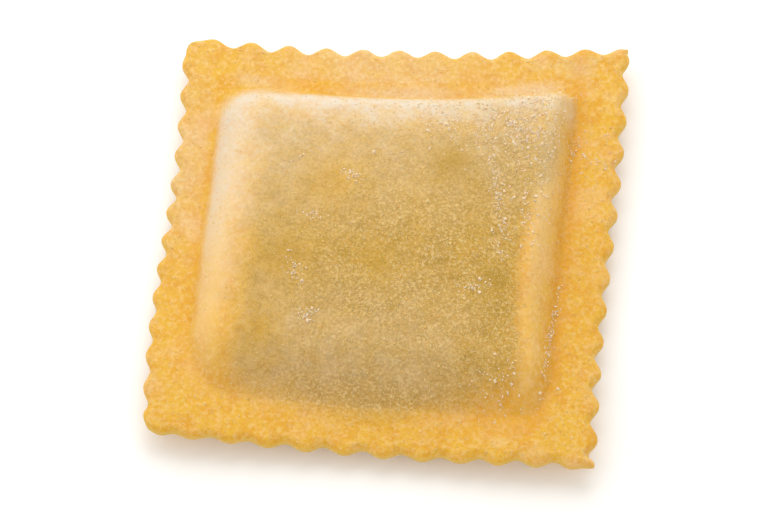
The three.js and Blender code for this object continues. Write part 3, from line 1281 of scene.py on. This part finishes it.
@dataclass(frozen=True)
class Grains:
    """One kind of grain, stuck to the top of the dough. Sizes are in millimetres."""

    name: str
    seed: int
    blank: Blank
    usual_size: float
    size_spread: float  # of the logarithm
    largest: float
    sink: tuple[float, float]  # how high the middle stands over the dough, in half sizes
    count: int = 0
    look: str = "dusting"  # the look of the skin that says where most of them lie
    falls: tuple[Fall, ...] = ()
    amber: float = 1.4  # the higher, the more of them are amber
    floury: float = 2.2  # the higher, the more of them are floury
    flattest: float = 0.55  # a grain's shortest and longest half axes, in half sizes
    longest: float = 1.15
    raggedness: float = 0.22  # how far each of its points is knocked in or out
    reach: tuple[float, float] = (0.004, 0.996)  # the shares of the grid between which they are scattered
    cut_margin: float = 0.005  # nearer to the cut than this share of the grid, they roll off

    def places(self, skin: DoughSkin, draw: np.random.Generator) -> np.ndarray:
        """Chooses where the grains lie.

        Args:
            skin: the dough's skin.
            draw: the seeded generator.

        Returns:
            Shares across and away on the top's grid, one row for each grain that lies on the dough.
        """
        kept = np.empty((0, 2))
        while len(kept) < self.count:
            tried = draw.uniform(*self.reach, (self.count, 2))
            stuck = draw.uniform(0, 1, self.count) < skin.look_at(self.look, tried)
            kept = np.concatenate([kept, tried[stuck]])
        chosen = [kept[: self.count]]
        for fall in self.falls:
            turn = math.radians(fall.turn)
            along, aside = draw.normal(0, 0.5, (2, fall.count)) * [[fall.length], [fall.width]]
            across = fall.across + along * math.cos(turn) - aside * math.sin(turn)
            away = fall.away + along * math.sin(turn) + aside * math.cos(turn)
            chosen.append(np.stack([across, away], axis=-1))
        places = np.concatenate(chosen)
        return places[np.all(np.abs(places - 0.5) < 0.5 - self.cut_margin, axis=1)]

    def build(self, skin: DoughSkin, material: bpy.types.Material) -> bpy.types.Object:
        """Builds all the grains of this kind as one mesh.

        Args:
            skin: the dough's skin.
            material: the grains' finish.

        Returns:
            The grains' object.
        """
        draw = np.random.default_rng(self.seed)
        points, normals = skin.surface(self.places(skin, draw))
        count = len(points)
        blank, triangles = cut_blank(self.blank)
        size = np.minimum(self.largest, self.usual_size * np.exp(draw.normal(0, self.size_spread, count)))
        stretch = draw.uniform(self.flattest, self.longest, (count, 1, 3))
        ragged = draw.uniform(1 - self.raggedness, 1 + self.raggedness, (count, len(blank), 1))
        grains = blank[None] * stretch * ragged * size[:, None, None] / 2
        grains = np.einsum("nij,nkj->nki", random_turns(draw, count), grains)
        lift = draw.uniform(*self.sink, count) * size / 2
        grains = grains + (points + normals * lift[:, None])[:, None]
        numbers = triangles[None] + len(blank) * np.arange(count)[:, None, None]
        looks = {"shade": np.repeat(draw.beta(self.amber, self.floury, count), len(blank))}
        points, faces = grains.reshape(-1, 3), [numbers.reshape(-1, 3)]
        return make_piece(self.name, points, faces, looks, material, smooth=False)


def random_turns(draw: np.random.Generator, count: int) -> np.ndarray:
    """Draws rotations, every way round alike.

    Args:
        draw: the seeded generator.
        count: how many.

    Returns:
        Rotation matrices, of shape (count, 3, 3).
    """
    quaternions = draw.normal(size=(4, count))
    w, x, y, z = quaternions / np.linalg.norm(quaternions, axis=0)
    rows = (
        (1 - 2 * (y * y + z * z), 2 * (x * y - z * w), 2 * (x * z + y * w)),
        (2 * (x * y + z * w), 1 - 2 * (x * x + z * z), 2 * (y * z - x * w)),
        (2 * (x * z - y * w), 2 * (y * z + x * w), 1 - 2 * (x * x + y * y)),
    )
    return np.array(rows).transpose(2, 0, 1)


SEMOLINA = Grains(
    "semolina_grains", 5, Blank.ICOSAHEDRON, usual_size=0.2, size_spread=0.3, largest=0.42,
    sink=(-0.8, -0.1), count=4200,
)
FINE_FLOUR = Grains(
    "flour_specks", 6, Blank.OCTAHEDRON, usual_size=0.13, size_spread=0.25, largest=0.22,
    sink=(-0.3, 0.3), count=24000, look=DoughSkin.SPECKS,
)
FLOUR_CLUMPS = Grains(
    "flour_clumps", 7, Blank.ICOSAHEDRON, usual_size=0.25, size_spread=0.32, largest=0.46,
    sink=(-0.5, 0.25), falls=FALLS, amber=0.9, flattest=0.4, raggedness=0.34,
)


# --- The studio ---


def direction(azimuth: float, elevation: float) -> Vector:
    """Points from the piece out into the studio.

    Args:
        azimuth: degrees round from the front, towards the right.
        elevation: degrees above the floor.

    Returns:
        A unit vector.
    """
    a, e = math.radians(azimuth), math.radians(elevation)
    return Vector((math.sin(a) * math.cos(e), -math.cos(a) * math.cos(e), math.sin(e)))


@dataclass(frozen=True)
class SoftLamp:
    """A lamp behind a square diffuser. Lengths are metres, and power is in watts."""

    name: str
    azimuth: float
    elevation: float
    distance: float
    side: float
    power: float
    tint: str = "FFFFFF"

    def build(self) -> bpy.types.Object:
        """Hangs the lamp and turns it to the piece.

        Returns:
            The lamp's object.
        """
        light = bpy.data.lights.new(self.name, "AREA")
        light.color = linear(self.tint)[:3]
        light.shape = "SQUARE"
        light.size = self.side
        light.energy = self.power
        lamp = bpy.data.objects.new(self.name, light)
        outward = direction(self.azimuth, self.elevation)
        lamp.location = outward * self.distance
        lamp.rotation_euler = (-outward).to_track_quat("-Z", "Y").to_euler()
        bpy.context.scene.collection.objects.link(lamp)
        LOG.info("%s: %.2f W from %.0f, %.0f degrees", self.name, self.power, self.azimuth, self.elevation)
        return lamp


COOL = "F8FCFF"  # the lamps behind are a little cooler than the others


@dataclass
class Studio:
    """The floor, the lamps, the soft surrounding light and the camera. Lengths are metres."""

    floor_side: float = 6.0
    surround: float = 0.61
    surround_tint: str = "FFFBF3"
    camera_azimuth: float = 4.5
    camera_elevation: float = 66.0
    camera_distance: float = 0.45
    camera_target: tuple[float, float, float] = (-0.00037, -0.00171, 0.0)
    lens: float = 196.0
    lamps: tuple[SoftLamp, ...] = (
        SoftLamp("key_lamp", azimuth=200, elevation=53, distance=0.22, side=0.24, power=0.258, tint=COOL),
        SoftLamp("back_fill", azimuth=165, elevation=60, distance=0.5, side=0.3, power=0.35, tint=COOL),
        SoftLamp("right_fill", azimuth=90, elevation=40, distance=0.5, side=0.4, power=0.215),
        SoftLamp("left_fill", azimuth=275, elevation=38, distance=0.5, side=0.4, power=0.32),
        SoftLamp("front_fill", azimuth=345, elevation=32, distance=0.5, side=0.4, power=0.16),
    )

    def build_floor(self) -> bpy.types.Object:
        """Lays the floor at the height that the piece rests at.

        Returns:
            The floor's object.
        """
        half = self.floor_side / 2 / MM
        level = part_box(NODE)[0].z / MM
        corners = np.array([(x, y, level) for x in (-half, half) for y in (-half, half)])
        faces = [np.array([[0, 2, 3, 1]])]
        floor = make_piece("floor", corners, faces, {}, OpalAcrylic().material(), smooth=False)
        return floor

    def build_surround(self) -> None:
        """Fills the studio with soft, slightly warm light from all round."""
        world = bpy.data.worlds.new("studio_surround")
        world.use_nodes = True
        world.node_tree.nodes.clear()
        tree = world.node_tree
        light = {"Color": linear(self.surround_tint), "Strength": self.surround}
        glow = add_node(tree, "ShaderNodeBackground", light)
        add_node(tree, "ShaderNodeOutputWorld", {"Surface": glow.outputs["Background"]})
        bpy.context.scene.world = world

    def build_camera(self) -> bpy.types.Object:
        """Sets up the camera, which looks steeply down on the piece from the front.

        Returns:
            The camera's object.
        """
        camera = bpy.data.objects.new("camera", bpy.data.cameras.new("camera"))
        camera.data.lens = self.lens
        camera.data.clip_start = 0.01
        outward = direction(self.camera_azimuth, self.camera_elevation)
        camera.location = Vector(self.camera_target) + outward * self.camera_distance
        camera.rotation_euler = (-outward).to_track_quat("-Z", "Y").to_euler()
        bpy.context.scene.collection.objects.link(camera)
        bpy.context.scene.camera = camera
        return camera

    def build(self) -> None:
        """Builds the whole studio."""
        self.build_floor()
        self.build_surround()
        for lamp in self.lamps:
            lamp.build()
        self.build_camera()
        bpy.context.scene.view_settings.view_transform = "Standard"
        LOG.info("studio: floor, surround, %d lamps and camera", len(self.lamps))


def main() -> None:
    """Builds the piece, its dusting and the studio."""
    logging.basicConfig(level=logging.INFO, format="%(name)s: %(message)s")
    skin = DoughSkin(RavioloForm())
    dough = skin.build(RolledEggDough().material())
    semolina = COARSE_SEMOLINA.material()
    dusting = [grains.build(skin, semolina) for grains in (SEMOLINA, FINE_FLOUR)]
    dusting.append(FLOUR_CLUMPS.build(skin, CAKED_FLOUR.material()))
    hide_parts(NODE)
    for piece in (dough, *dusting):
        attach(piece, BODY)
    Studio().build()


if __name__ == "__main__":
    main()
